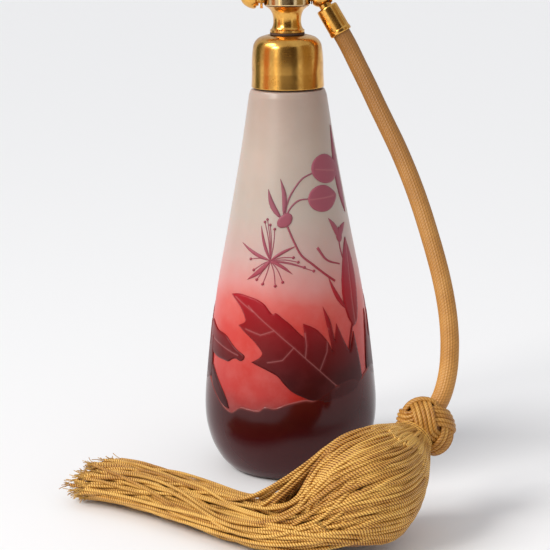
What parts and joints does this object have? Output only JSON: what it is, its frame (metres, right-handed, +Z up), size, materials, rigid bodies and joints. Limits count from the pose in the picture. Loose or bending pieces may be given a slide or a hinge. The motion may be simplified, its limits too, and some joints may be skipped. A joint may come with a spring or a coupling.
{
  "type": "perfume atomiser",
  "caption": "Tapered cameo-glass perfume flask with a screw-in brass spray head, a braided hose and a netted rubber squeeze bulb with a long silk tassel.",
  "frame": {"origin": "centre of the bottle's foot, on the surface that it stands on", "axes": "+Z up the bottle, -X the way the nozzle sprays, -Y towards the bulb and tassel"},
  "size_m": [0.1427, 0.1479, 0.1998],
  "materials": {
    "cameo_glass": "satin acid-etched glass shading from pale grey through coral to dark ruby, with a low ruby relief",
    "gilt_brass": "polished gilt brass",
    "plain_brass": "turned brass, unpolished",
    "steel": "bright steel",
    "plaster": "matte plaster",
    "leather": "compressed leather",
    "rubber": "matte red-brown rubber",
    "silk": "twisted and braided old-gold silk",
    "glass_tube": "thin clear glass tube"
  },
  "bodies": {
    "bottle": {"glass_bottle": "cameo_glass", "neck_collar": "gilt_brass", "cement_bed": "plaster", "thread_ring": "plain_brass"},
    "washer": {"seal_washer": "leather"},
    "head": {"head_stem": "gilt_brass", "inlet_spigot": "plain_brass", "dip_tube_nut": "plain_brass", "dip_tube": "glass_tube", "drum_shell": "gilt_brass", "drum_gasket": "leather", "drum_cover": "gilt_brass", "cover_finial": "gilt_brass", "jet_block": "plain_brass", "nozzle_barrel": "plain_brass", "liquid_jet": "steel", "nozzle_lock_ring": "gilt_brass", "banjo_bolt": "gilt_brass", "knuckle_washer_inner": "leather", "knuckle_washer_outer": "leather"},
    "nozzle": {"nozzle_cap": "gilt_brass"},
    "bulb": {"elbow_knuckle": "gilt_brass", "elbow_ferrule": "gilt_brass", "braided_hose": "silk", "turks_head_knot": "silk", "bulb_neck_tube": "plain_brass", "rubber_bulb": "rubber", "net_cover": "silk", "valve_body": "plain_brass", "valve_guard": "plain_brass", "tail_binding": "silk", "tassel": "silk"},
    "fan": {"fan_cords": "silk"},
    "ball": {"valve_ball": "steel"}
  },
  "joints": [
    {"name": "head_unscrew", "type": "hinge", "parent": "bottle", "child": "washer", "pos_m": [0, 0, 0.1743], "axis": [0, 0, 1], "range_deg": [0, 900]},
    {"name": "head_lift", "type": "slide", "parent": "washer", "child": "head", "axis": [0, 0, 1], "range_m": [0, 0.165]},
    {"name": "nozzle_unscrew", "type": "hinge", "parent": "head", "child": "nozzle", "pos_m": [-0.0128, 0, 0.1883], "axis": [-1, 0, 0], "range_deg": [0, 720]},
    {"name": "elbow_swivel", "type": "hinge", "parent": "head", "child": "bulb", "pos_m": [0.0127, 0, 0.1883], "axis": [-1, 0, 0], "range_deg": [0, 60]},
    {"name": "bulb_squeeze", "type": "slide", "parent": "bulb", "child": "fan", "axis": [0, 0, -1], "range_m": [0, 0.009], "stiffness_N_per_m": 400, "deforming": ["rubber_bulb", "net_cover"]},
    {"name": "valve_ball_lift", "type": "slide", "parent": "bulb", "child": "ball", "axis": [0.6208, 0.6909, 0.3705], "range_m": [0, 0.0012]}
  ]
}
